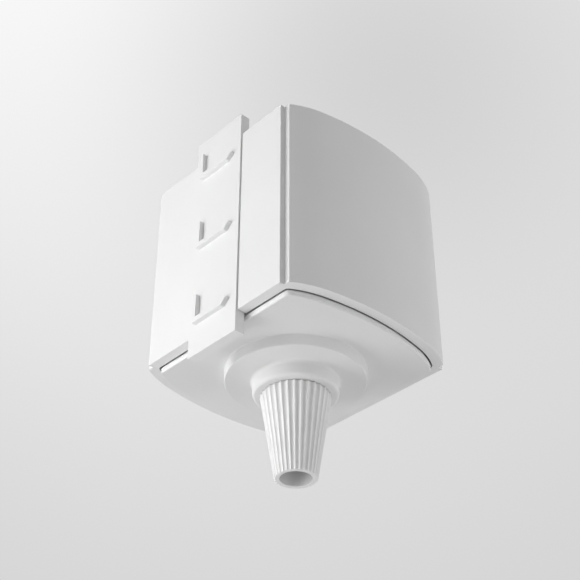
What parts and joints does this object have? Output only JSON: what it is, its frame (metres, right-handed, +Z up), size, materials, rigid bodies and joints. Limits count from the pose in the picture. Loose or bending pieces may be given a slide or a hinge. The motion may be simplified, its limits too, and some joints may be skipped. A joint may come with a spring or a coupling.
{
  "type": "lighting track connector",
  "caption": "Track connector with a sleeve of flat and bulged walls, a ribbed lock slide, a twist-in contact head and a fluted conical cord grip.",
  "frame": {"origin": "middle of the top face, where the connector meets the underside of the track", "axes": "+Z up into the track, the track runs along X, the lock slide is on the -X wall, the bulged walls face -Y and +Y"},
  "size_m": [0.0463, 0.0512, 0.0784],
  "materials": {
    "sleeve": "fine matt moulded white",
    "slide": "fine matt moulded white",
    "housing": "fine matt moulded white",
    "nut": "fine matt moulded white",
    "inner_plastic": "matt moulded",
    "collet": "dark grey, matt moulded",
    "bush": "matt",
    "spring": "drawn wire",
    "brass": "stamped",
    "screw": "zinc plated"
  },
  "bodies": {
    "housing": {"sleeve": "sleeve", "body": "housing", "head_lid": "housing", "head_cap": "inner_plastic", "terminal_block": "inner_plastic", "cord_bush": "bush", "lock_spring": "spring", "live_contact": "brass", "neutral_contact": "brass", "earth_contact": "brass", "live_clamp": "brass", "neutral_clamp": "brass", "earth_clamp": "brass", "live_screw": "screw", "neutral_screw": "screw", "earth_screw": "screw", "block_screw_left": "screw", "block_screw_right": "screw", "sleeve_screw_upper": "screw", "sleeve_screw_lower": "screw", "lid_screw_1": "screw", "lid_screw_2": "screw", "lid_screw_3": "screw", "lid_screw_4": "screw", "head_cap_screw": "screw"},
    "lock": {"lock_slide": "slide"},
    "grip": {"cord_collet": "collet"},
    "nut": {"cord_nut": "nut"}
  },
  "joints": [
    {"name": "lock_travel", "type": "slide", "parent": "housing", "child": "lock", "axis": [0, 0, -1], "range_m": [0, 0.0055], "stiffness_N_per_m": 150, "springref_m": -0.003, "deforming": ["lock_spring"]},
    {"name": "grip_travel", "type": "slide", "parent": "housing", "child": "grip", "axis": [0, 0, -1], "range_m": [0, 0.002]},
    {"name": "nut_turn", "type": "hinge", "parent": "grip", "child": "nut", "pos_m": [0, 0, -0.06], "axis": [0, 0, -1], "range_deg": [0, 720]}
  ],
  "couplings": [
    {"joint": "nut_turn", "follows": "grip_travel", "rad_per_m": 6283.2}
  ]
}
